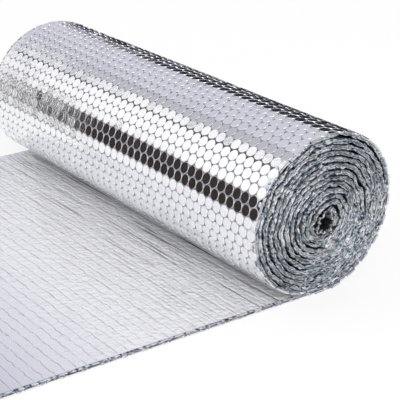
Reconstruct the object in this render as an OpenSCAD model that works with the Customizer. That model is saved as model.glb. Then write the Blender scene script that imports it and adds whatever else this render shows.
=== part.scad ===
// Roll of foil bubble insulation, lying on its side with its free end unrolled flat.
//
// The whole thing is one web: two foil films with a layer of air bubbles between them.
// The bubbles stand out on the side that faces outwards on the roll, and downwards on the
// flat tail. The web is drawn as its section in the XZ plane and extruded along Y, so each
// row of bubbles is a flat-topped ridge with a valley on both sides of it.
//
// X runs across the roll, with the tail towards -X. Y runs along the roll. Z is up, and the
// web lies on z = 0. The origin is under the middle of the whole thing.

/* [Web] */
// Width of the web, which is the length of the roll
web_w = 450; // [200:10:1200]
// Thickness of the web, from its smooth film to its bubble tops
web_t = 3.3; // [2.4:0.1:6]
// Distance between neighbouring bubbles in a row
bubble_pitch = 10.5; // [8:0.5:16]
// Depth of the valley between two rows of bubbles
valley_depth = 0.8; // [0.4:0.1:1.6]
// Width of the valley at the bubble tops
valley_w = 2; // [0.8:0.1:3]
// Depth of the crease that each valley leaves in the smooth film of the tail
crease_depth = 0.3; // [0.1:0.05:0.6]
// Width of that crease
crease_w = 1.2; // [0.4:0.1:2]

/* [Winding] */
// Turns of the web on the roll
turns = 12.25; // [4.25:1:24.25]
// Least air between two turns
turn_gap = 0.4; // [0.2:0.05:2]
// How much longer than wide the roll's oval is
oval = 6; // [0:0.5:8]
// Tilt of the oval's length above the horizontal, in degrees
oval_tilt = 32; // [0:1:60]
// How far the roll sinks into the small flat spot that it rests on
flat_depth = 2.1; // [0:0.1:3]
// Extra air in the crescent gap half way into the roll, on its right
crescent_gap = 1.6; // [0:0.1:3]
// Direction of the middle of that gap above the horizontal, in degrees
crescent_tilt = 10; // [-20:5:45]

/* [Hole] */
// Length of the crushed hole in the middle of the roll
hole_l = 24; // [16:1:40]
// Width of the crushed hole
hole_w = 17; // [10:1:24]
// Tilt of the hole's length above the horizontal, in degrees
hole_tilt = 40; // [0:5:90]
// How far the hole lies to the right of the roll's middle
hole_right = 6; // [0:0.5:12]
// How far the hole lies below the roll's middle
hole_down = 7; // [0:0.5:12]
// Inner radius of the curl that the web's inner end makes in the hole
curl_r = 3; // [2:0.5:4]
// How far round that curl goes, in degrees
curl_angle = 190; // [20:10:200]

/* [Tail] */
// Length of the flat tail, from the middle of the roll's flat spot to its cut end
tail_l = 320; // [120:5:1000]

/* [Hidden] */
// Bubbles are packed in a hexagonal pattern, so rows are closer than bubbles
row_pitch = bubble_pitch * sqrt(3) / 2;
arc_step = 5;
wound_angle = 360 * turns;
inner_end_angle = wound_angle + curl_angle;

// The roll's middle seen from the hole's middle
roll_middle = [-hole_right, hole_down];

function along(a) = [cos(a), sin(a)];
function across(a) = [-sin(a), cos(a)];

// A closed ring of the roll is given by its support radius h(a): the distance from the hole's
// middle to the ring's tangent line whose outward normal points at angle a. Taking a depth off
// h moves the ring inwards by exactly that depth, so rings keep their distance everywhere.
function hole_ellipse(a) =
    norm([hole_l / 2 * cos(a - hole_tilt), hole_w / 2 * sin(a - hole_tilt)]);
function hole_h(a) = hole_ellipse(a) + web_t;
function hole_slope(a) =
    (hole_w * hole_w - hole_l * hole_l) / 4
    * sin(a - hole_tilt) * cos(a - hole_tilt) / hole_ellipse(a);
function hole_bend(a) = pow(hole_l * hole_w / 4, 2) / pow(hole_ellipse(a), 3) + web_t;

// The crescent gap pushes the turns inside it inwards, most in its own direction and not at
// all beyond 60 degrees on both sides of it
crescent_turn = floor(turns / 2);
crescent_from = 360 * crescent_turn - 90 + crescent_tilt;
crescent_turns_inside = (wound_angle - crescent_from) / 360;
function off_crescent(a) = 180 - abs((a - crescent_tilt + 3600) % 360 - 180);
function push(a) =
    off_crescent(a) < 60 ? crescent_gap * pow(cos(1.5 * off_crescent(a)), 2) : 0;
function push_slope(a) =
    off_crescent(a) < 60 ? -1.5 * crescent_gap * sin(3 * (a - crescent_tilt)) : 0;
function pushed_share(f) =
    f < crescent_from ? 0 : (wound_angle - f) / (wound_angle - crescent_from);

// The roll's radius leaves every turn its thickness and the least air, on every side
room_at_push = turns / crescent_turns_inside;
tightest = max([
    for (a = [0:arc_step:355]) hole_h(a) + room_at_push * push(a) - roll_middle * along(a)
]);
roll_r = tightest + turns * (web_t + turn_gap) + flat_depth;
function roll_h(a) = roll_r + oval * pow(cos(a - oval_tilt), 2) + roll_middle * along(a);
function roll_slope(a) = -oval * sin(2 * (a - oval_tilt)) + roll_middle * across(a);
function roll_bend(a) = roll_r + oval * (0.5 - 1.5 * cos(2 * (a - oval_tilt)));

// Winding angle f is 0 where the tail leaves the roll at the bottom, and grows inwards
function normal_angle(f) = f - 90;
function blend(f, at_roll, at_hole) =
    at_roll * (1 - f / wound_angle) + at_hole * f / wound_angle;
function bend_radius(f) =
    f > wound_angle
    ? curl_r + web_t
    : blend(f, roll_bend(normal_angle(f)), hole_bend(normal_angle(f)));

// Over the flat spot the outermost turn lies flat on the floor, and the others lie flat on
// each other, by the same rise at each turn
bottom_rise = (roll_h(-90) - hole_h(-90) - flat_depth) / turns;
hole_middle = [-roll_slope(-90), roll_h(-90) - flat_depth];
function ground(f) = f < 20 ? 0 : bottom_rise * f / 360;
function lie_flat(p, f, depth) = [p[0], max(p[1], ground(f) + depth)];
function wound(f, depth) =
    let (a = normal_angle(f))
    let (h = blend(f, roll_h(a), hole_h(a)) - pushed_share(f) * push(a) - depth)
    let (slope = blend(f, roll_slope(a), hole_slope(a)) - pushed_share(f) * push_slope(a))
    lie_flat(hole_middle + h * along(a) + slope * across(a), f, depth);

// The inner end leaves the innermost turn on its tangent and curls into the hole
curl_middle = wound(wound_angle, web_t + curl_r);
function curled(f, depth) = curl_middle + (curl_r + web_t - depth) * along(normal_angle(f));

// Winding angle that lies a length s along the web from the roll's flat spot
function arc(f) = bend_radius(f) * arc_step * PI / 180;
arc_table = [
    for (f = 0, s = 0; f <= inner_end_angle + arc_step; s = s + arc(f), f = f + arc_step)
    [s, f]
];
wound_l = arc_table[len(arc_table) - 2][0];
function angle_at(s) = lookup(s, arc_table);

// Point of the section a length s along the web and a depth below the bubble tops: s is
// negative on the flat tail and positive on the roll
function rolled_point(f, depth) = f > wound_angle ? curled(f, depth) : wound(f, depth);
function web_point(s, depth) = s < 0 ? [s, depth] : rolled_point(angle_at(s), depth);

wound_rows = floor((wound_l - valley_w) / row_pitch);
tail_rows = floor((tail_l - valley_w) / row_pitch);
bubble_side = [
    web_point(-tail_l, 0),
    for (row = [-tail_rows:wound_rows])
    for (corner = [[-valley_w / 2, 0], [0, valley_depth], [valley_w / 2, 0]])
    web_point(row * row_pitch + corner[0], corner[1]),
    web_point(wound_l, 0)
];
wound_film = [
    web_point(wound_l, web_t),
    for (half_row = [2 * wound_rows:-1:1]) web_point(half_row * row_pitch / 2, web_t)
];
tail_film = [
    for (row = [0:-1:-tail_rows])
    for (corner = [[crease_w / 2, 0], [0, crease_depth], [-crease_w / 2, 0]])
    web_point(row * row_pitch + corner[0], web_t - corner[1]),
    web_point(-tail_l, web_t)
];
section = concat(bubble_side, wound_film, tail_film);

// The origin lies under the middle of the section's width
section_mid = (min([for (p = section) p[0]]) + max([for (p = section) p[0]])) / 2;

module foil_bubble_web() {
    color("silver")
    translate([-section_mid, web_w / 2, 0])
    rotate([90, 0, 0])
    linear_extrude(height = web_w)
    polygon(section);
}

foil_bubble_web();
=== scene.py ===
"""A roll of foil bubble insulation, dressed over its packed section.

The web is one long strip. A place on it is given by s, the length along the strip from the
roll's flat spot (negative on the flat tail), by y across the strip, and by the depth below the
bubble tops. All lengths in the functions are in millimetres, and pieces are made in metres.
"""

import math

import bpy
import numpy as np
from mathutils import Matrix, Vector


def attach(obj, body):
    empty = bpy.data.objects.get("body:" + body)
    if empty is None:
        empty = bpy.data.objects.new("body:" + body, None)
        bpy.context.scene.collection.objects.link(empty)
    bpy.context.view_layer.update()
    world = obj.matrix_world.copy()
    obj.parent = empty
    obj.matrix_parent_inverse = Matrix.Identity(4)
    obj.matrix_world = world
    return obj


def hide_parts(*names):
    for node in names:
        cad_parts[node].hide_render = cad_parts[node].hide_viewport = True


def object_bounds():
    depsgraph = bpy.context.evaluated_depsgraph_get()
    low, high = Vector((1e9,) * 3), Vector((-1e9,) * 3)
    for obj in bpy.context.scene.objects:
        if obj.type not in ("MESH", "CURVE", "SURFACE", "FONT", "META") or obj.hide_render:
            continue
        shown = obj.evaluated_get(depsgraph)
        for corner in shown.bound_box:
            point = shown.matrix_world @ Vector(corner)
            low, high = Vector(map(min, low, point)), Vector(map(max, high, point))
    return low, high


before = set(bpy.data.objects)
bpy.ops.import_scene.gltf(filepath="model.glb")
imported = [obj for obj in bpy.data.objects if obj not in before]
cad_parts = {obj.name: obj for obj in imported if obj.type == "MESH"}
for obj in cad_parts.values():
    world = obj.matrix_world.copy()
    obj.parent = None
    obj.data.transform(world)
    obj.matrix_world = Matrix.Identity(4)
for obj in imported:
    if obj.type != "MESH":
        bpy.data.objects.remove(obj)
cad_box = [list(corner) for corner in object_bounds()]

# The web and its winding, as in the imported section
WEB_W, WEB_T, PITCH = 450.0, 3.3, 10.5
ROW = PITCH * math.sqrt(3) / 2
TURNS, TURN_GAP, OVAL, OVAL_TILT, FLAT = 12.25, 0.4, 6.0, 32.0, 2.1
CRESCENT_GAP, CRESCENT_TILT = 1.6, 10.0
HOLE_L, HOLE_W, HOLE_TILT, HOLE_RIGHT, HOLE_DOWN = 24.0, 17.0, 40.0, 6.0, 7.0
CURL_R, CURL_ANGLE, TAIL_L = 3.0, 190.0, 320.0
HALF_W = WEB_W / 2
WOUND = 360.0 * TURNS
CRESCENT_FROM = 360 * math.floor(TURNS / 2) - 90 + CRESCENT_TILT
SHIFT = cad_box[0][0] * 1000 + TAIL_L

# Bubbles: rows lie ROW apart along the web, and every other row is half a pitch across. The
# near cut runs through the middle of the bubbles of each even row.
DISC_R, FOOT_R, FILM_DEPTH, CUT_DEPTH = 4.6, 5.16, 1.4, 1.3
SIDES = 14
ROLL_RINGS = ((4.84, 0.0), (4.95, 0.10), (5.06, 1.9))
TAIL_RINGS = ((DISC_R, 0.0), (5.1, 1.6))

# Outline of a cut edge: from the outer film round its lip, through the pocket between the films
# and round the inner film's lip. The painted shade of each point says how dark it is painted:
# darkest at the inner film's far side, then in the pockets, where shade falls.
EDGE_IN, LIP_ROUND, LIP_MIDDLE, FILM_T = 3.2, 0.3, 0.16, 0.36
EDGE_SHADE = (0.35, 0.05, 0.0, 0.08, 0.5, 0.2, 0.5, 0.08, 0.0, 0.05, 0.9)
EDGE_N = len(EDGE_SHADE)

# Places across the web where the outer turn has its own unevenness
ACROSS = np.array([-211.0, -105, 0, 105, 211])
ACROSS_STEP = 105.5

# The roll's middle in metres, and the fitted camera in degrees, roll radii and pixels
ROLL_R_M, AXIS_X = 0.0710, 0.12748
CAMERA_TURN, CAMERA_DOWN, CAMERA_ROLL = -35.29, 21.92, -0.331
CAMERA_BACK, CAMERA_RIGHT, CAMERA_LOW = 17.585, 0.4027, 0.7985
FOCAL_PIXELS, PICTURE_PIXELS, SENSOR = 1320.78, 400, 36


def cosd(a):
    return np.cos(np.radians(a))


def sind(a):
    return np.sin(np.radians(a))


def hole_ring(a):
    """Support radius and its slope of the innermost turn: an ellipse, plus the web's thickness."""
    c, s = cosd(a - HOLE_TILT), sind(a - HOLE_TILT)
    e = np.hypot(HOLE_L / 2 * c, HOLE_W / 2 * s)
    return e + WEB_T, (HOLE_W**2 - HOLE_L**2) / 4 * s * c / e


def push(a):
    """Squared cosine that falls from the crescent gap's middle to nothing 60 degrees away."""
    off = (a - CRESCENT_TILT + 3780) % 360 - 180
    near = np.abs(off) < 60
    return (
        np.where(near, CRESCENT_GAP * cosd(1.5 * off) ** 2, 0),
        np.where(near, -1.5 * CRESCENT_GAP * sind(3 * off), 0),
    )


def roll_radius():
    """The least radius that leaves every turn its thickness and its air, on every side."""
    a = np.arange(0, 360, 5.0)
    tightest = np.max(
        hole_ring(a)[0]
        + TURNS * 360 / (WOUND - CRESCENT_FROM) * push(a)[0]
        + HOLE_RIGHT * cosd(a)
        - HOLE_DOWN * sind(a)
    )
    return tightest + TURNS * (WEB_T + TURN_GAP) + FLAT


ROLL_R = roll_radius()


def roll_ring(a):
    """Support radius and its slope of the outer turn: a circle with an oval, off the hole."""
    h = ROLL_R + OVAL * cosd(a - OVAL_TILT) ** 2 - HOLE_RIGHT * cosd(a) + HOLE_DOWN * sind(a)
    slope = -OVAL * sind(2 * (a - OVAL_TILT)) + HOLE_RIGHT * sind(a) + HOLE_DOWN * cosd(a)
    return h, slope


RISE = float(roll_ring(-90)[0] - hole_ring(-90)[0] - FLAT) / TURNS
HOLE_MIDDLE = (-float(roll_ring(-90)[1]), float(roll_ring(-90)[0]) - FLAT)


def wound(f, depth):
    """Point of the wound web at winding angle f: a ring blended from the outer to the inner one.

    The point is h out along the normal and the slope of h across it, with the depth off h.
    Where that is below the flat spot, the turns lie flat, one rise apart.
    """
    a = f - 90
    share = f / WOUND
    squeeze = np.where(f < CRESCENT_FROM, 0, (WOUND - f) / (WOUND - CRESCENT_FROM))
    h = roll_ring(a)[0] * (1 - share) + hole_ring(a)[0] * share - squeeze * push(a)[0] - depth
    k = roll_ring(a)[1] * (1 - share) + hole_ring(a)[1] * share - squeeze * push(a)[1]
    x = HOLE_MIDDLE[0] + h * cosd(a) - k * sind(a)
    z = HOLE_MIDDLE[1] + h * sind(a) + k * cosd(a)
    return x, np.maximum(z, np.where(f < 20, 0, RISE * f / 360) + depth)


CURL_MIDDLE = wound(WOUND, WEB_T + CURL_R)


def rolled(f, depth):
    """The wound web, and past its last turn an arc that curls into the hole."""
    x, z = wound(np.minimum(f, WOUND), depth)
    r = CURL_R + WEB_T - depth
    inner = f > WOUND
    return (
        np.where(inner, CURL_MIDDLE[0] + r * cosd(f - 90), x),
        np.where(inner, CURL_MIDDLE[1] + r * sind(f - 90), z),
    )


# Length along the web at each winding angle, to the inner end and once round the outer turn
ANGLES = np.arange(0, WOUND + CURL_ANGLE + 0.5, 0.5)
PATH = np.stack(rolled(ANGLES, np.zeros_like(ANGLES)))
LENGTHS = np.concatenate([[0], np.cumsum(np.hypot(*np.diff(PATH)))])
WOUND_L = LENGTHS[-1]
OUTER_L = float(np.interp(360, ANGLES, LENGTHS))
LEDGE_AT = round(float(np.interp(221, ANGLES, LENGTHS)) / ROW) * ROW


def place(s, y, depth):
    """Row-frame point in metres of a place on the web; on the tail, depth is simply the height."""
    s, y, depth = np.broadcast_arrays(*(np.asarray(v, float) for v in (s, y, depth)))
    x, z = rolled(np.interp(s, LENGTHS, ANGLES), depth)
    x, z = np.where(s < 0, s, x), np.where(s < 0, depth, z)
    return np.stack([x + SHIFT, y, z], -1) * 0.001


def knots(shape, seed):
    """Chance values between -1 and 1, always the same for a seed."""
    return np.random.default_rng(seed).uniform(-1, 1, shape)


def eased(t):
    """Goes from 0 to 1 as t does, and is smooth at both."""
    return t * t * (3 - 2 * t)


def ease(x, low, high):
    """Rises from 0 at low to 1 at high, and is smooth at both."""
    return eased(np.clip((x - low) / (high - low), 0, 1))


def wander(t, scale, seed):
    """Smooth chance curve between -1 and 1: values at every scale, eased into each other."""
    t = np.asarray(t, float) / scale + 512
    i = np.floor(t).astype(int)
    e = eased(t - i)
    table = knots(8192, seed)
    return table[i % 8192] * (1 - e) + table[(i + 1) % 8192] * e


def ripple(s, y, scale_s, scale_y, seed):
    """Smooth chance surface between -1 and 1: values on a lattice, eased in both directions."""
    u, v = np.asarray(s, float) / scale_s + 700, np.asarray(y, float) / scale_y + 700
    i, j = np.floor(u).astype(int), np.floor(v).astype(int)
    a, b = eased(u - i), eased(v - j)
    table = knots((256, 256), seed)

    def along_row(k):
        return table[k % 256, j % 256] * (1 - b) + table[k % 256, (j + 1) % 256] * b

    return along_row(i) * (1 - a) + along_row(i + 1) * a


def piece(name, points, groups, materials, marks, replaces=False):
    """One object from points and groups of faces: (corner numbers, material number, smooth).

    The material number is one for the whole group, or one for each of its faces. The marks are
    values at the points that the materials read.
    """
    sizes = np.concatenate([np.full(len(faces), faces.shape[1]) for faces, _, _ in groups])
    corners = np.concatenate([faces.ravel() for faces, _, _ in groups])
    numbers = np.concatenate([np.broadcast_to(number, len(faces)) for faces, number, _ in groups])
    smooth = np.concatenate([np.full(len(faces), even) for faces, _, even in groups])
    mesh = bpy.data.meshes.new(name)
    mesh.vertices.add(len(points))
    mesh.vertices.foreach_set("co", points.astype(np.float32).ravel())
    mesh.loops.add(len(corners))
    mesh.loops.foreach_set("vertex_index", corners.astype(np.int32))
    mesh.polygons.add(len(sizes))
    mesh.polygons.foreach_set("loop_start", (np.cumsum(sizes) - sizes).astype(np.int32))
    mesh.polygons.foreach_set("material_index", numbers.astype(np.int32))
    mesh.update(calc_edges=True)
    mesh.polygons.foreach_set("use_smooth", smooth)
    for key, values in marks.items():
        mark = mesh.attributes.new(key, "FLOAT", "POINT")
        mark.data.foreach_set("value", values.astype(np.float32).ravel())
    for material in materials:
        mesh.materials.append(material)
    mesh.update()
    o = bpy.data.objects.new(name, mesh)
    bpy.context.scene.collection.objects.link(o)
    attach(o, "root")
    if replaces:
        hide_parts("foil_bubble_web")


def tube_faces(n, m):
    """Quads of a closed profile of m points carried to n stations, and one cap at each end."""
    i, j = np.meshgrid(np.arange(n - 1), np.arange(m), indexing="ij")
    k = (j + 1) % m
    quads = np.stack([i * m + j, i * m + k, (i + 1) * m + k, (i + 1) * m + j], -1).reshape(-1, 4)
    return quads, np.arange(m)[::-1][None], ((n - 1) * m + np.arange(m))[None]


def bubble_cut(s, offset):
    """Depth of the bubble film along a cut that runs offset from the even rows' middles."""
    row = s / ROW - 0.5
    best = np.zeros_like(s)
    for k in (np.floor(row), np.floor(row) + 1):
        across = (offset + np.where(k % 2 == 0, 0, PITCH / 2) + PITCH / 2) % PITCH - PITCH / 2
        r = np.hypot((row - k) * ROW, across)
        best = np.maximum(best, 1 - ease(r, DISC_R - 0.2, FOOT_R + 0.3))
    return CUT_DEPTH * (1 - best)


def edge_profile(s, near):
    """Outline of the web's cut edge: y inwards from the cut, depth, and painted shade of its points.

    Two thin films stand proud with a crumpled pocket between them. The bubble film follows the
    bubbles that the cut runs through, and both films wave, fray and lean by smooth chance.
    """
    seed = 100 if near else 200

    def chance(scale, number):
        return wander(s, scale, seed + number)

    drift = (0 if near else 1.5) + 2.2 * chance(260, 0) * ease(s, OUTER_L - 60, OUTER_L + 200)
    top = bubble_cut(s, drift)
    room = WEB_T - top
    lean = (0.55 * chance(13, 1) + 0.35 * chance(5.5, 2)) * ease(s, -20, 60)
    frayed = 0.5 + 0.5 * chance(90, 3)
    lip_a = 0.7 + 0.7 * chance(8, 4) + 0.5 * frayed * chance(2.6, 5)
    lip_b = 0.7 + 0.7 * chance(9, 6) + 0.5 * frayed * chance(3.1, 7)
    pit_a = 2.4 + 1.1 * chance(3.2, 8)
    pit_b = 2.6 + 1.2 * chance(3.7, 9)
    fold = 1.3 + 1.0 * chance(2.5, 10)
    fold_at = 0.5 + 0.22 * chance(4.1, 11)
    crumple_a = 0.40 + 0.8 * chance(4.6, 14) + 0.3 * chance(17, 16)
    crumple_b = 0.35 + 0.7 * chance(5.2, 15)
    wave_a = lean + 0.2 * chance(3.0, 12) - ease(s, OUTER_L - 30, OUTER_L + 40) * crumple_a
    wave_b = lean * 0.8 + 0.25 * chance(3.4, 13) + ease(s, -20, 30) * crumple_b
    inwards = np.full_like(s, EDGE_IN)
    y = [
        inwards, lip_a + LIP_ROUND, lip_a, lip_a + LIP_ROUND, pit_a, fold, pit_b,
        lip_b + LIP_ROUND, lip_b, lip_b + LIP_ROUND, inwards,
    ]
    film_a = top + wave_a
    depth = [
        top + 0.5 * lean, film_a, film_a + LIP_MIDDLE, film_a + FILM_T, film_a + 0.30 * room,
        top + lean + fold_at * room, top + lean + 0.78 * room,
        WEB_T - FILM_T + wave_b, WEB_T - LIP_MIDDLE + wave_b, WEB_T + wave_b, WEB_T + 0.5 * lean,
    ]
    recess = np.tile(EDGE_SHADE, (len(s), 1))
    # The painted shade in the pockets and at the fold comes and goes by smooth chance.
    recess[:, 4:7] += 0.5 * np.stack([chance(5.5 + i, 17 + i) for i in range(3)], -1)
    return np.stack(np.maximum(y, 0.0), -1), np.stack(depth, -1), recess.clip(0, 1)


class Shade:
    """A node socket that takes part in Python expressions by adding Math nodes."""

    def __init__(self, tree, socket):
        self.tree, self.socket = tree, socket

    def node(self, kind, settings=None, out=0, **inputs):
        """Any other node: its settings, then its inputs by name, or by number as i0, i1."""
        n = self.tree.nodes.new(kind)
        for key, value in (settings or {}).items():
            if key == "stops":
                ramp = n.color_ramp.elements
                while len(ramp) < len(value):
                    ramp.new(0.5)
                for element, (at, colour) in zip(ramp, value):
                    element.position, element.color = at, (*colour, 1)
            else:
                setattr(n, key, value)
        for key, value in inputs.items():
            numbered = key[0] == "i" and key[1:].isdigit()
            socket = n.inputs[int(key[1:]) if numbered else key.replace("_", " ")]
            if isinstance(value, Shade):
                self.tree.links.new(value.socket, socket)
            else:
                socket.default_value = value
        return Shade(self.tree, n.outputs[out])

    def math(self, operation, a, b):
        return self.node("ShaderNodeMath", {"operation": operation}, i0=a, i1=b)

    def __add__(self, o):
        return self.math("ADD", self, o)

    def __sub__(self, o):
        return self.math("SUBTRACT", self, o)

    def __rsub__(self, o):
        return self.math("SUBTRACT", o, self)

    def __mul__(self, o):
        return self.math("MULTIPLY", self, o)

    def __truediv__(self, o):
        return self.math("DIVIDE", self, o)

    __radd__, __rmul__ = __add__, __mul__

    def above(self, limit):
        return self.math("GREATER_THAN", self, limit)

    def clamp(self):
        return self.node("ShaderNodeClamp", Value=self)

    def between(self, low, high):
        """0 up to low, 1 from high, and straight between them."""
        return ((self - low) / (high - low)).clamp()

    def ramp(self, *stops):
        return self.node("ShaderNodeValToRGB", {"stops": stops}, Fac=self)

    def axis(self, number):
        return self.node("ShaderNodeSeparateXYZ", out=number, Vector=self)

    def blend(self, a, b):
        """Colour a where this is 0 and colour b where it is 1."""
        n = self.tree.nodes.new("ShaderNodeMix")
        n.data_type = "RGBA"
        for i, value in ((0, self), (6, a), (7, b)):
            if isinstance(value, Shade):
                self.tree.links.new(value.socket, n.inputs[i])
            else:
                n.inputs[i].default_value = (*value, 1) if i else value
        return Shade(self.tree, n.outputs[2])


def begin(name):
    """A material with nothing in it but its output, and a Shade to start expressions from."""
    material = bpy.data.materials.new(name)
    material.use_nodes = True
    tree = material.node_tree
    tree.nodes.clear()
    output = tree.nodes.new("ShaderNodeOutputMaterial")
    return material, Shade(tree, None), output


def object_place(start):
    return start.node("ShaderNodeTexCoord", out=3)


def mark(start, name):
    """The piece's own value of that name at the point."""
    return start.node("ShaderNodeAttribute", {"attribute_name": name}, out=2)


def speckle(start, at, scale, detail):
    """Noise between 0 and 1 at so many features a metre."""
    return start.node("ShaderNodeTexNoise", Vector=at, Scale=scale, Detail=detail)


def foil_finish(
    name, colour, rough, crinkle, crinkle_scale, axis=0, span=(0, 1), shade_mark=None, metal=1.0,
    fold_shade_between=None, first_colour=None,
):
    """Metallised film: nearly mirror-bright, with a haze that comes and goes and fine crinkles.

    rough is the least roughness and what the haze adds. span gives two places on the axis: from
    the first to the second one the crinkle goes from its first value to its second, the film
    gets only as metallic as metal says, and the colour goes from first_colour, if there is one,
    to colour. shade_mark gives a mark of the piece, the two values of it between which the film
    is painted darker as painted shade, and the colour of that shade. fold_shade_between gives the
    two places in X between which thin dark lines of painted shade come in, that run along Y.
    """
    material, start, output = begin(name)
    at = object_place(start)
    share = at.axis(axis).between(*span)
    haze = speckle(start, at, 60.0, 4.0)
    crumple = speckle(start, at, crinkle_scale, 4.0)
    grain = speckle(start, at, 1400.0, 2.0)
    strength = share * (crinkle[1] - crinkle[0]) + crinkle[0]
    height = crumple + 0.10 * grain
    bump = start.node("ShaderNodeBump", Strength=strength, Distance=0.0022, Height=height)
    tone = haze.blend(colour, tuple(c * 0.95 for c in colour))
    if first_colour:
        tone = share.blend(first_colour, tone)
    # Painted shade: where the mark rises between its two values, the film is painted towards the
    # dark colour.
    if shade_mark:
        key, low, high, dark = shade_mark
        tone = mark(start, key).between(low, high).blend(tone, dark)
    # Painted shade: thin dark lines along Y, drawn from stretched noise, between two places in X.
    if fold_shade_between:
        drawn = start.node("ShaderNodeMapping", Vector=at, Scale=(480.0, 7.0, 1.0))
        fold = speckle(start, drawn, 1.0, 3.0)
        thin = ((0.415 - fold) * 24).clamp() * at.axis(0).between(*fold_shade_between)
        tone = thin.blend(tone, (0.13, 0.13, 0.15))
    shader = start.node(
        "ShaderNodeBsdfPrincipled",
        Base_Color=tone,
        Metallic=1.0 - share * (1.0 - metal),
        Roughness=haze * rough[1] + rough[0],
        Normal=bump,
    )
    start.tree.links.new(shader.socket, output.inputs[0])
    return material


def cut_edge_finish():
    """The crumpled cut edges: blue-grey film with painted glints, and painted shade further in.

    The painted glints are noise drawn out along the web, so that they follow the turns. The torn
    inner end has harder ones.
    """
    material, start, output = begin("cut_edge_film")
    at = object_place(start)
    run, deep, recess, shine = (mark(start, key) for key in ("run", "deep", "recess", "shine"))
    strip = start.node("ShaderNodeCombineXYZ", X=run * 0.27, Y=deep * 1.8, Z=0.0)
    coarse = speckle(start, strip, 1.0, 4.0)
    fine = speckle(start, at, 700.0, 2.0)
    slow = speckle(start, at, 75.0, 2.0)
    # The ramp's near-black is painted shade in the gaps, and its white is painted glints.
    tone = (coarse * 0.8 + fine * 0.2 + slow * 0.14 - 0.07).ramp(
        (0.41, (0.03, 0.04, 0.07)),
        (0.45, (0.23, 0.29, 0.38)),
        (0.49, (0.60, 0.68, 0.78)),
        (0.535, (1.0, 1.0, 1.0)),
    )
    # The torn end's harder ramp: near-black painted shade and white painted glints.
    torn = (fine * 0.6 + coarse * 0.4).ramp(
        (0.43, (0.04, 0.04, 0.06)), (0.48, (0.75, 0.77, 0.8)), (0.53, (1.0, 1.0, 1.0))
    )
    height = coarse + 0.6 * fine
    film = start.node(
        "ShaderNodeBsdfPrincipled",
        Base_Color=shine.blend(tone, torn),
        Metallic=0.75,
        Roughness=fine * 0.3 + 0.22,
        Normal=start.node("ShaderNodeBump", Strength=1.0, Distance=0.0016, Height=height),
    )
    # Near-black film mixed in by the painted-shade mark: painted shade in the pockets, between the
    # turns and further in.
    dark = start.node(
        "ShaderNodeBsdfPrincipled", Base_Color=(0.012, 0.014, 0.02, 1), Roughness=0.9
    )
    shader = start.node("ShaderNodeMixShader", i0=recess, i1=film, i2=dark)
    start.tree.links.new(shader.socket, output.inputs[0])
    return material


def card_finish(name, colour, again=None):
    """Matt card. It may give off light where it is seen in more than one mirror in a row."""
    material, start, output = begin(name)
    shader = start.node("ShaderNodeBsdfDiffuse", Color=(*colour, 1))
    if again:
        repeated = start.node("ShaderNodeLightPath", out="Ray Depth").above(1.5)
        white = start.node("ShaderNodeEmission", Color=(*again, 1), Strength=1.0)
        shader = start.node("ShaderNodeMixShader", i0=repeated, i1=shader, i2=white)
    start.tree.links.new(shader.socket, output.inputs[0])
    return material


def lamp_finish(name, first, last):
    """A white lamp whose strength changes along Y: (y, strength) at its two ends."""
    material, start, output = begin(name)
    share = object_place(start).axis(1).between(first[0], last[0])
    tone = share.blend((first[1],) * 3, (last[1],) * 3)
    shader = start.node("ShaderNodeEmission", Color=tone, Strength=1.0)
    start.tree.links.new(shader.socket, output.inputs[0])
    return material


def floor_finish():
    """A white floor that keeps the object's shadow, and fades to plain white for the camera."""
    material, start, output = begin("pale_floor")
    in_mirrors = start.node("ShaderNodeLightPath", out="Is Glossy Ray")
    seen = start.node("ShaderNodeLightPath") + in_mirrors
    matt = start.node("ShaderNodeBsdfDiffuse", Color=(0.93, 0.93, 0.93, 1))
    white = start.node("ShaderNodeEmission", Color=(1, 1, 1, 1), Strength=1.0)
    mixed = start.node("ShaderNodeMixShader", i0=seen.clamp() * 0.72, i1=matt, i2=white)
    start.tree.links.new(mixed.socket, output.inputs[0])
    return material


BUBBLE_FOIL = foil_finish(
    "bubble_foil",
    colour=(0.93, 0.93, 0.95),
    rough=(0.05, 0.08),
    crinkle=(0.05, 0.34),
    crinkle_scale=420.0,
    axis=1,
    span=(0.0, 0.21),
)
# The crease mark paints shade into the creases, and thin dark lines of painted shade run along Y
# towards the roll.
SMOOTH_FOIL = foil_finish(
    "smooth_side_foil",
    colour=(0.96, 0.96, 0.98),
    rough=(0.08, 0.07),
    crinkle=(0.07, 1.0),
    crinkle_scale=230.0,
    span=(-0.17, -0.05),
    shade_mark=("crease", 0.0, 1.0, (0.24, 0.24, 0.28)),
    metal=0.45,
    fold_shade_between=(-0.02, 0.085),
    first_colour=(0.86, 0.855, 0.905),
)
# The bubble walls and the film between the bubbles: a little darker than the tops, and painted
# darker with depth, as painted shade.
RIM_FOIL = foil_finish(
    "bubble_rim_foil",
    colour=(0.86, 0.86, 0.88),
    rough=(0.30, 0.10),
    crinkle=(0.05, 0.05),
    crinkle_scale=420.0,
    shade_mark=("deep", 0.3, 1.4, (0.6, 0.6, 0.63)),
)
CUT_EDGE = cut_edge_finish()


def dents(s):
    """Slow unevenness of the outer turn at the five places across, in mm of depth.

    One row of bubbles stands above the next, a ledge that runs all along the roll.
    """
    rise = ease(s, LEDGE_AT - 0.5, LEDGE_AT + 0.5)
    ledge = 0.45 * rise * (1 - ease(s, LEDGE_AT + 6, LEDGE_AT + 30))
    return np.stack(
        [0.3 * wander(s, 60, 31 + i) + 0.12 * wander(s, 24, 41 + i) + ledge for i in range(5)], -1
    )


def dent_at(s, y):
    """The same unevenness anywhere across: straight lines between those five places."""
    d = dents(s)
    t = np.clip((y - ACROSS[0]) / ACROSS_STEP, 0, 3.999)
    i = t.astype(int)
    rows = np.arange(len(s))
    return d[rows, i] * (1 - (t - i)) + d[rows, i + 1] * (t - i)


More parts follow.
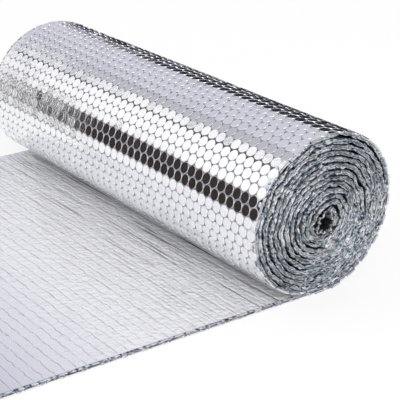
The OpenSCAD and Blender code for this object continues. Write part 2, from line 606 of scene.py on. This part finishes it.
def make_turns():
    """The web from the flat spot inwards: its closed outline, carried along the winding.

    The outline is the outer film, the near cut, the inner film and the far cut. The outer turn's
    film lies at the bubbles' feet. Near the cuts, and most in the crushed hole, the turns are
    moved in X and Z by smooth chance, more strongly the further in they are.
    """
    s = np.append(np.arange(0, WOUND_L, 1.2), WOUND_L)
    n, m = len(s), 2 * (len(ACROSS) + EDGE_N)
    outer_film = slice(0, len(ACROSS))
    outermost = 1 - ease(s, OUTER_L - 2, OUTER_L + 8)[:, None]
    outer = FILM_DEPTH * outermost + 0.7 * (1 - outermost) + dents(s) * outermost
    inner = WEB_T + dents(s) * outermost * 0.5
    near_y, near_d, recess = edge_profile(s, True)
    far_y, far_d, _ = edge_profile(s, False)
    ys = np.concatenate([
        np.tile(ACROSS[::-1], (n, 1)), near_y - HALF_W,
        np.tile(ACROSS, (n, 1)), HALF_W - far_y[:, ::-1],
    ], 1)
    ds = np.concatenate([outer[:, ::-1], near_d, inner, far_d[:, ::-1]], 1)
    points = place(s[:, None], ys, np.maximum(ds, 0))

    hole_mouth = ease(s, WOUND_L - 120, WOUND_L - 55)
    inner_end = ease(s, WOUND_L - 22, WOUND_L - 10)
    crushed = (2.0 * hole_mouth + 1.6 * inner_end)[:, None]
    for axis, coarse_s, coarse_y, fine_s, seed in ((0, 7, 16, 3.4, 71), (2, 8, 15, 3.1, 73)):
        coarse = ripple(s[:, None], ys, coarse_s, coarse_y, seed)
        fine = ripple(s[:, None], ys, fine_s, 5, seed + 1)
        points[..., axis] += 0.001 * crushed * (coarse + 0.8 * fine)
    at_cut = ease(np.abs(ys), HALF_W - 14, HALF_W - 1)
    at_cut = at_cut * ease(s, OUTER_L - 40, OUTER_L + 60)[:, None] * 0.001
    x, z = points[..., 0] * 1000, points[..., 2] * 1000
    for axis, seed, off_floor in ((0, 81, 1.0), (2, 83, ease(z, 0, 8))):
        wave = 1.1 * ripple(x, z, 13, 13, seed) + 0.6 * ripple(x, z, 6, 6, seed + 1)
        points[..., axis] += at_cut * wave * off_floor

    # Painted shade: the films that lie between the turns are painted dark, and the outer film only
    # inside the outer turn.
    hidden = np.tile(1 - outermost, (1, len(ACROSS)))
    recess = np.concatenate([hidden, recess, np.ones_like(hidden), recess[:, ::-1]], 1)
    recess[:, [len(ACROSS), m - 1]] *= 1 - outermost
    # Painted glints: near the hole's mouth the lips of the cut edges take the harder glint ramp.
    shine = np.zeros((n, m))
    lips = [5, 6, 7, 12, 13, 14, 15, 21, 22, 23]
    shine[:, lips] = 0.9 * ease(s, WOUND_L - 95, WOUND_L - 75)[:, None]
    deep = ds.copy()
    deep[:, outer_film] = FILM_DEPTH
    finish = np.ones((n - 1, m), int)
    skin = s[:-1] < OUTER_L
    finish[skin, outer_film] = 0
    finish[skin, m - 1] = 0
    # Painted shadow: along the ledge a strip of the outer film takes the cut-edge finish, painted
    # mostly dark, as shade under the step.
    ledge = np.abs(s - LEDGE_AT) < 3.4
    finish[ledge[:-1] & ledge[1:], outer_film] = 1
    recess[ledge, outer_film] = 0.8
    quads, first_cap, last_cap = tube_faces(n, m)
    piece(
        "wound_turns", points.reshape(-1, 3),
        [(quads, finish.ravel(), True), (first_cap, 1, False), (last_cap, 1, False)],
        [RIM_FOIL, CUT_EDGE],
        {"recess": recess, "shine": shine, "run": np.tile(s[:, None], (1, m)), "deep": deep},
        replaces=True,
    )


def make_core():
    """The torn inner end of the web: a ribbon of film that is crumpled into the hole's mouth.

    It is the hole's ellipse, drawn in a little and waved by smooth chance, and carried inwards
    along Y. A second skin lies a quarter of a millimetre inside it.
    """
    t = np.linspace(0, 1, 241)[:-1]
    run = t[:, None] * 240
    y = np.array([0.0, 0.6, 1.2, 1.9, 2.8, 3.8])
    turn = 360 * t[:, None] + 0 * y
    wave = 0.14 * wander(run, 9, 91) + 0.10 * ripple(run, y, 4, 2.5, 92)
    loose = ease(sind(360 * t[:, None] - 60), -0.9, 0.5)
    size = 0.93 + 1.5 * wave * loose - 0.06 * ease(y, 0, 4)
    along = HOLE_L / 2 * size * cosd(turn - HOLE_TILT)
    across = HOLE_W / 2 * size * sind(turn - HOLE_TILT)
    c, d = cosd(HOLE_TILT), sind(HOLE_TILT)
    x, z = HOLE_MIDDLE[0] + c * along - d * across, HOLE_MIDDLE[1] + d * along + c * across
    x += 1.2 * ripple(run, y, 5, 2, 93)
    z += 1.2 * ripple(run, y, 5, 2, 94)
    torn = 0.9 * wander(t * 240, 6, 95)[:, None]
    ys = np.maximum(-HALF_W, -HALF_W - 0.4 + 0.8 * y + torn)
    out = np.stack([x + SHIFT, ys, z], -1)
    middle = np.array([HOLE_MIDDLE[0] + SHIFT, 0, HOLE_MIDDLE[1]])
    outwards = (out - middle) * [1, 0, 1]
    inner = out - 0.25 * outwards / np.linalg.norm(outwards, axis=-1, keepdims=True)
    ring = np.concatenate([out, inner[:, ::-1]], 1)
    n, m = ring.shape[:2]
    i, j = np.meshgrid(np.arange(n), np.arange(m), indexing="ij")
    a, b = (i + 1) % n, (j + 1) % m
    quads = np.stack([i * m + j, i * m + b, a * m + b, a * m + j], -1).reshape(-1, 4)
    both_skins = np.r_[y, y[::-1]]
    # The torn end is painted dark from 2 to 4 mm in, as painted shade, and carries painted glints
    # all over.
    piece(
        "crumpled_inner_end", ring.reshape(-1, 3) * 0.001, [(quads, 0, True)], [CUT_EDGE],
        {
            "recess": np.tile(0.8 * ease(both_skins, 2, 4), n),
            "shine": np.ones(n * m),
            "run": np.repeat(t * 240, m),
            "deep": np.tile(both_skins, n),
        },
    )


def bubble_places(rows):
    """Middles of the bubbles of the given rows: every pitch across, odd rows half a pitch on."""
    s, y = [], []
    for k in rows:
        across = np.arange(-HALF_W + (0 if k % 2 == 0 else PITCH / 2), HALF_W + 4, PITCH)
        s.append(np.full(len(across), (k + 0.5) * ROW))
        y.append(across)
    return np.concatenate(s), np.concatenate(y)


def unit(v):
    return v / np.linalg.norm(v, axis=1, keepdims=True)


def make_bubbles(name, rows, rings, on_roll):
    """Flat-topped round bubbles: rings of points round each middle, in the bubble's own plane.

    Each disc leans and swells a little by chance, more so at the roll's far end, and what passes
    the web's cut stays on it.
    """
    s, y = bubble_places(rows)
    n = len(s)
    if on_roll:
        s = s + 0.16 * np.sign(s - LEDGE_AT) * (np.abs(s - LEDGE_AT) < ROW)
    rng = np.random.default_rng(7)
    lean_s, lean_y = rng.normal(0, 0.012, (2, n)) * (1 + 2.2 * ease(y, 0, HALF_W))
    swell, low = 1 + rng.normal(0, 0.012, n), rng.uniform(0, 0.12, n)
    depth = dent_at(s, y) + low if on_roll else np.zeros(n)
    middle = place(s, y, depth)
    along = unit(place(s + 0.6, y, depth) - place(s - 0.6, y, depth))
    inwards = unit(place(s, y, depth + 1) - middle)
    turn = (np.arange(SIDES) + 0.5) * 2 * np.pi / SIDES
    points, depths = [], []
    for i, (radius, deep) in enumerate(rings):
        u = radius * swell[:, None] * np.cos(turn)
        v = np.clip(y[:, None] + radius * swell[:, None] * np.sin(turn), -HALF_W, HALF_W)
        v = v - y[:, None]
        leans = i < len(rings) - 1
        w = deep + (lean_s[:, None] * u + lean_y[:, None] * v) * leans
        p = u[..., None] * along[:, None] + w[..., None] * inwards[:, None]
        p = middle[:, None] + 0.001 * p
        p[..., 1] += 0.001 * v
        points.append(p)
        depths.append(w + np.zeros_like(u))
    points = np.stack(points, 1).reshape(-1, 3)
    points[:, 2] = np.maximum(points[:, 2], 0)
    m = len(rings) * SIDES
    first = np.arange(n)[:, None] * m
    a = np.arange(SIDES)
    b = (a + 1) % SIDES
    walls = []
    for r in range(len(rings) - 1):
        upper, lower = first + r * SIDES, first + (r + 1) * SIDES
        walls.append(np.stack([upper + a, upper + b, lower + b, lower + a], -1).reshape(-1, 4))
    walls = np.concatenate(walls)
    top, foot = first + a[::-1], first + m - SIDES + a
    on_cut = np.all(np.abs(points[walls, 1]) > 0.001 * HALF_W - 1e-5, axis=1)
    # The cut walls on the roll are painted a little dark, as painted shade, with no painted glints.
    piece(
        name, points,
        [
            (top, 0, False), (walls[~on_cut], 1, True),
            (walls[on_cut], 2 if on_roll else 0, False), (foot, 1, False),
        ],
        [BUBBLE_FOIL, RIM_FOIL, CUT_EDGE],
        {
            "recess": np.full(len(points), 0.2),
            "shine": np.zeros(len(points)),
            "run": np.repeat(s, m),
            "deep": np.stack(depths, 1),
        },
    )


def make_tail():
    """The flat tail: creased smooth film on top, the two cuts, and a plain valley film below.

    Under each gap between two rows of bubbles the film has a crease, which zigzags by smooth
    chance. Smooth chance also wrinkles the film between, and streaks it along Y by the roll.
    """
    rows = np.arange(-36, 1)
    offsets = np.array([-0.45, 0.0, 0.45, 2.3, 4.55, 6.8])
    plain = 4
    s = (rows[:, None] * ROW + offsets).ravel()
    kind = np.tile(np.arange(len(offsets)), len(rows))
    row = np.repeat(rows, len(offsets))
    keep = (s > -TAIL_L + 0.4) & (s < -0.4)
    s = np.r_[-TAIL_L, s[keep], 0.0]
    kind = np.r_[plain, kind[keep], plain]
    row = np.r_[-36, row[keep], 0][:, None]
    y = np.linspace(-HALF_W + 6, HALF_W - 6, 300)
    grid_s, grid_y = np.meshgrid(s, y, indexing="ij")
    held = ease(grid_s, -TAIL_L, -TAIL_L + 8) * (1 - ease(grid_s, -8, 0))
    zigzag = 0.42 * np.tanh(9 * wander(grid_y + 523 * row, 7.5, 61))
    zigzag = zigzag + 0.35 * wander(grid_y + 700 * row, 21, 67)
    in_crease = (kind == 1)[:, None] * 1.0
    crease = in_crease * (0.36 + 0.14 * ripple(grid_s, grid_y, 20, 22, 62))
    wrinkle = 0.12 * ripple(grid_s, grid_y, 5.5, 7, 63) + 0.16 * ripple(grid_s, grid_y, 3.2, 3.6, 64)
    wrinkle = wrinkle * (0.15 + 0.85 * ease(grid_s, -290, -200))
    streaks = 0.13 * ripple(grid_s, grid_y, 2.4, 80, 65) * ease(grid_s, -60, -10)
    z = WEB_T - crease + (wrinkle + streaks) * held

    n = len(s)
    below = np.array([211.0, -211])
    near_y, near_d, recess = edge_profile(s, True)
    far_y, far_d, _ = edge_profile(s, False)
    ys = np.concatenate([
        np.tile(below, (n, 1)), near_y - HALF_W, grid_y, HALF_W - far_y[:, ::-1],
    ], 1)
    zs = np.concatenate([np.full((n, 2), CUT_DEPTH), near_d, z, far_d[:, ::-1]], 1)
    before = len(below) + EDGE_N
    m = ys.shape[1]
    on_top = slice(before, m - EDGE_N)
    ss = np.tile(s[:, None], (1, m))
    ss[:, on_top] = grid_s + zigzag * held
    points = np.stack([ss + SHIFT, ys, np.maximum(zs, 0)], -1).reshape(-1, 3) * 0.001

    finish = np.zeros((n - 1, m), int)
    finish[:, 3:before - 1] = 1
    finish[:, m - EDGE_N + 1:m - 1] = 1
    # Painted shade on the tail's cut edges, at six tenths of that on the turns.
    edge_shade = np.zeros((n, m))
    edge_shade[:, 2:before], edge_shade[:, m - EDGE_N:] = 0.6 * recess, 0.6 * recess[:, ::-1]
    # Painted shade along the crease lines between the bubble rows, weaker towards the roll.
    row_crease_shade = in_crease * (0.62 + 0.5 * ripple(grid_s, grid_y, 9, 6, 66)).clip(0, 1) * held
    row_crease_shade = row_crease_shade * (1 - 0.5 * ease(grid_s, -110, -50))
    # Painted shade in streaks along Y near the roll.
    streak_shade = (ripple(grid_s, grid_y, 2.3, 150, 68) - 0.15).clip(0, 1) * ease(grid_s, -62, -14)
    # The crease mark that the smooth foil reads: the stronger of the two painted shades.
    creased = np.zeros((n, m))
    creased[:, on_top] = np.maximum(row_crease_shade, 0.2 * streak_shade)
    quads, first_cap, last_cap = tube_faces(n, m)
    # Painted glints at half strength where the tail's cut edge lies below 2.2 mm.
    piece(
        "tail_web", points,
        [(quads, finish.ravel(), True), (first_cap, 0, False), (last_cap, 0, False)],
        [SMOOTH_FOIL, CUT_EDGE],
        {
            "recess": edge_shade, "shine": 0.5 * (zs < 2.2), "run": ss, "deep": zs,
            "crease": creased,
        },
    )


make_turns()
make_core()
make_bubbles("roll_bubbles", range(0, math.ceil(OUTER_L / ROW)), ROLL_RINGS, True)
make_tail()
make_bubbles("tail_bubbles", range(-35, 0), TAIL_RINGS, False)


def stage_plane(name, corners, material, seen_by_camera=False, light=True):
    """One quad of the stage, kept apart from the object's body."""
    mesh = bpy.data.meshes.new(name)
    mesh.from_pydata(corners, [], [(0, 1, 2, 3)])
    mesh.materials.append(material)
    o = bpy.data.objects.new(name, mesh)
    bpy.context.scene.collection.objects.link(o)
    o.visible_camera = seen_by_camera
    o.visible_shadow = seen_by_camera
    o.visible_diffuse = light
    o.visible_transmission = light


def left_card(y0, y1):
    """Corners of an upright card on the roll's left, from y0 to y1."""
    x = AXIS_X - 0.55
    return [(x, y0, 0.0), (x, y1, 0.0), (x, y1, 0.33), (x, y0, 0.33)]


stage_plane("floor", [(-6, -6, 0), (6, -6, 0), (6, 6, 0), (-6, 6, 0)], floor_finish(), True)
stage_plane(
    "right_flag",
    [
        (AXIS_X + 0.13, -0.2, 0.002), (AXIS_X + 0.13, 0.60, 0.002),
        (AXIS_X + 0.36, 0.60, 0.37), (AXIS_X + 0.36, -0.2, 0.37),
    ],
    card_finish("charcoal_card", (0.03, 0.03, 0.04)),
    light=False,
)
stage_plane(
    "left_flag",
    left_card(0.05, 0.80),
    card_finish("brown_card", (0.035, 0.028, 0.026), again=(0.95, 0.95, 0.97)),
    light=False,
)
stage_plane(
    "far_flag", left_card(0.80, 1.25), lamp_finish("grey_card", (0.82, 0.05), (1.15, 0.80)),
    light=False,
)
stage_plane(
    "softbox",
    [(-2.2, 0.2, 0.45), (-2.2, 3.9, 0.45), (-0.55, 3.9, 2.6), (-0.55, 0.2, 2.6)],
    lamp_finish("softbox_white", (1.5, 1.12), (2.8, 1.05)),
)
stage_plane(
    "front_softbox",
    [(-1.2, -2.2, 0.5), (0.2, -2.4, 0.5), (0.2, -1.9, 1.9), (-1.2, -1.7, 1.9)],
    lamp_finish("front_white", (-2.4, 4.0), (-1.7, 4.0)),
)


def light_room():
    """The room round the roll, white for the camera and pale for plain light.

    In a mirror it goes from white on the left to lavender on the right, with a darker room in
    front, from the horizon to some 25 degrees up. Seen in one more mirror it is pale again.
    """
    world = bpy.data.worlds.new("pale_studio")
    bpy.context.scene.world = world
    world.use_nodes = True
    world.node_tree.nodes.clear()
    start = Shade(world.node_tree, None)
    seen = start.node("ShaderNodeLightPath", out="Is Camera Ray")
    glossy = start.node("ShaderNodeLightPath", out="Is Glossy Ray")
    repeated = start.node("ShaderNodeLightPath", out="Ray Depth").above(2.5)
    direction = start.node("ShaderNodeTexCoord", out=0)
    side, ahead, up = (direction.axis(i) for i in range(3))
    bands = (side * 0.5 + 0.5).ramp(
        (0.0, (1.0, 1.0, 1.0)),
        (0.395, (0.95, 0.95, 0.97)),
        (0.425, (0.53, 0.53, 0.59)),
        (0.50, (0.53, 0.53, 0.59)),
        (0.57, (0.68, 0.68, 0.76)),
        (1.0, (0.60, 0.60, 0.69)),
    )
    in_front = ((-0.25 - ahead) * 3).clamp()
    above_horizon = ((up + 0.06) * 12).clamp() * ((0.42 - up) * 5).clamp()
    once = (in_front * above_horizon * 0.85).blend(bands, (0.14, 0.15, 0.18))
    mirrored = repeated.blend(once, (0.92, 0.92, 0.95))
    colour = glossy.blend((0.95, 0.95, 0.95), mirrored)
    backdrop = start.node("ShaderNodeBackground", Color=seen.blend(colour, (1, 1, 1)), Strength=1.0)
    output = world.node_tree.nodes.new("ShaderNodeOutputWorld")
    world.node_tree.links.new(backdrop.socket, output.inputs[0])


def aim_camera():
    """The photograph's camera, as fitted: looking at the roll from its near end, 22 degrees down.

    Its place is so many roll radii back, right and down from the roll's middle, as it sees them.
    """
    az, el, roll = (math.radians(a) for a in (CAMERA_TURN, CAMERA_DOWN, CAMERA_ROLL))
    back = np.array([math.sin(az) * math.cos(el), -math.cos(az) * math.cos(el), math.sin(el)])
    right = np.cross(-back, [0, 0, 1])
    right /= np.linalg.norm(right)
    up = np.cross(right, -back)
    offset = CAMERA_BACK * back + CAMERA_RIGHT * right - CAMERA_LOW * up
    turn = np.eye(4)
    turn[:3, 0] = right * math.cos(roll) + up * math.sin(roll)
    turn[:3, 1] = up * math.cos(roll) - right * math.sin(roll)
    turn[:3, 2] = back
    turn[:3, 3] = np.array([AXIS_X, 0, ROLL_R_M]) + ROLL_R_M * offset
    data = bpy.data.cameras.new("camera")
    data.sensor_width, data.lens = SENSOR, FOCAL_PIXELS * SENSOR / PICTURE_PIXELS
    data.clip_start, data.clip_end = 0.05, 50
    camera = bpy.data.objects.new("camera", data)
    camera.matrix_world = Matrix(turn.tolist())
    bpy.context.scene.collection.objects.link(camera)
    bpy.context.scene.camera = camera


light_room()
aim_camera()
bpy.context.scene.view_settings.view_transform = "Standard"
